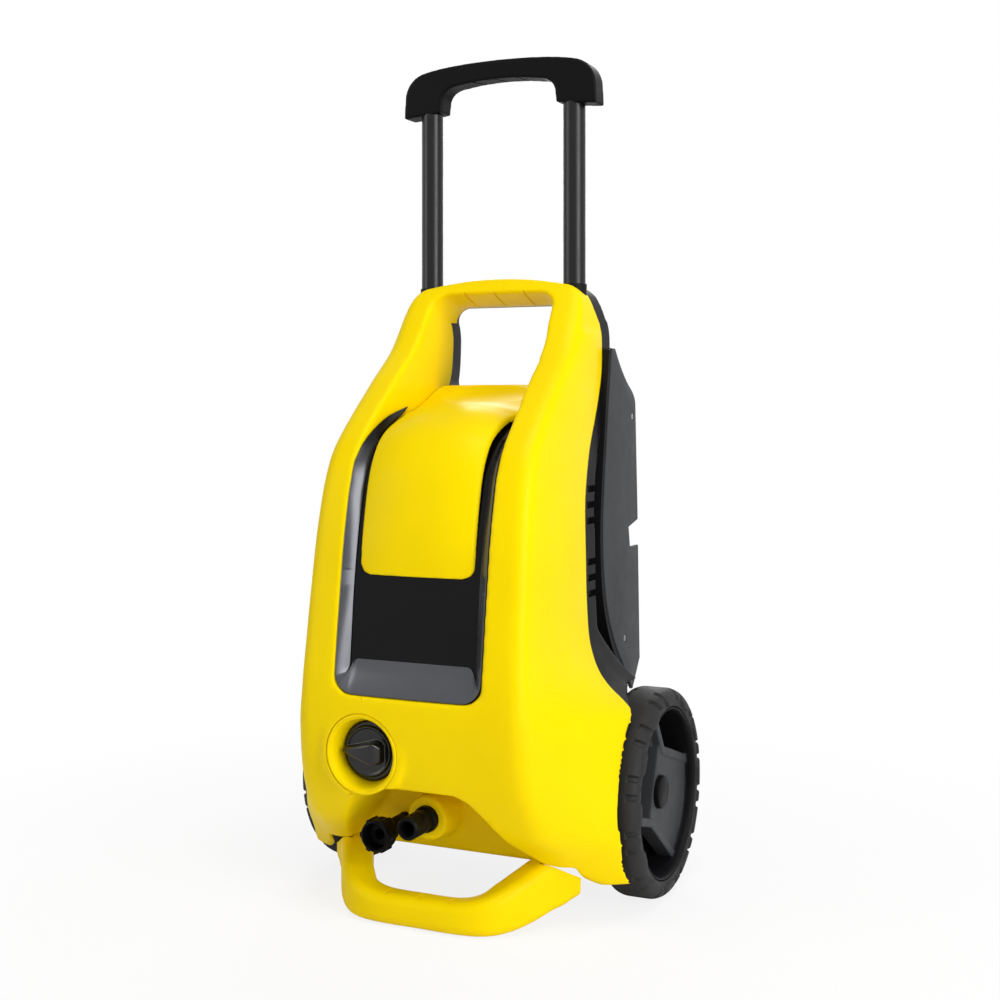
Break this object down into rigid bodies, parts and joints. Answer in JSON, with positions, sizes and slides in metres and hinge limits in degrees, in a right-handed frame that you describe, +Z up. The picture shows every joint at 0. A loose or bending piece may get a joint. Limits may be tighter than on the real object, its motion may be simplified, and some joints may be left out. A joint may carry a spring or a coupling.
{
  "type": "pressure washer",
  "caption": "Upright wheeled pressure washer: moulded housing with carry handle, rotary switch, water connections, foot bar and telescopic pull handle.",
  "frame": {"origin": "on the floor, at the middle of the footprint", "axes": "+Z up, -Y towards the switch and water connections, +X to the right seen from there"},
  "size_m": [0.356, 0.3103, 0.81],
  "materials": {
    "yellow_housing": "moulded, semi-gloss",
    "black_housing": "moulded, fine texture",
    "grey_housing": "moulded, fine texture",
    "gloss_black": "polished",
    "silver_trim": "silver lacquered plastic",
    "tread_rubber": "matte",
    "black_tube": "satin black paint",
    "black_grip": "fine texture",
    "steel": "machined",
    "cast_alloy": "cast"
  },
  "bodies": {
    "chassis": {"front_housing": "yellow_housing", "switch_bezel": "yellow_housing", "connection_surround": "yellow_housing", "connection_panel": "yellow_housing", "bonnet": "yellow_housing", "foot_bar": "yellow_housing", "rear_housing": "black_housing", "window_panel": "gloss_black", "trim_bezel": "silver_trim", "storage_tray": "grey_housing", "axle": "steel", "switch_box": "black_housing", "outlet_nipple": "black_grip", "inlet_spigot": "black_grip", "tube_guide_left": "black_housing", "tube_guide_right": "black_housing", "cheek_left": "grey_housing", "cheek_right": "grey_housing", "hub_cap_left": "black_grip", "hub_cap_right": "black_grip", "pump_head": "cast_alloy", "pump_housing": "cast_alloy", "piston_1": "steel", "piston_2": "steel", "piston_3": "steel", "motor_can": "cast_alloy", "motor_end_shield": "cast_alloy", "motor_bracket": "grey_housing", "capacitor": "grey_housing"},
    "pull_handle": {"handle_grip": "black_grip", "handle_tube_left": "black_tube", "handle_tube_right": "black_tube", "tube_stop_left": "black_housing", "tube_stop_right": "black_housing"},
    "wheel_left": {"tyre_left": "tread_rubber", "rim_left": "grey_housing"},
    "wheel_right": {"tyre_right": "tread_rubber", "rim_right": "grey_housing"},
    "dial": {"switch_dial": "black_grip"},
    "union_nut": {"inlet_nut": "black_grip"},
    "rotor": {"motor_rotor": "steel", "swash_plate": "steel", "cooling_fan": "black_housing"}
  },
  "joints": [
    {"name": "handle_slide", "type": "slide", "parent": "chassis", "child": "pull_handle", "axis": [0, 0, 1], "range_m": [-0.15, 0]},
    {"name": "wheel_left_spin", "type": "hinge", "parent": "chassis", "child": "wheel_left", "pos_m": [-0.155, 0.05, 0.098], "axis": [1, 0, 0], "continuous": true},
    {"name": "wheel_right_spin", "type": "hinge", "parent": "chassis", "child": "wheel_right", "pos_m": [0.155, 0.05, 0.098], "axis": [1, 0, 0], "continuous": true},
    {"name": "switch_turn", "type": "hinge", "parent": "chassis", "child": "dial", "pos_m": [-0.044, -0.139, 0.156], "axis": [0, 1, 0], "range_deg": [0, 90]},
    {"name": "nut_turn", "type": "hinge", "parent": "chassis", "child": "union_nut", "pos_m": [-0.045, -0.116, 0.076], "axis": [0, 1, 0], "continuous": true},
    {"name": "rotor_spin", "type": "hinge", "parent": "chassis", "child": "rotor", "pos_m": [0, -0.016, 0.22], "axis": [0, 0, 1], "continuous": true}
  ]
}
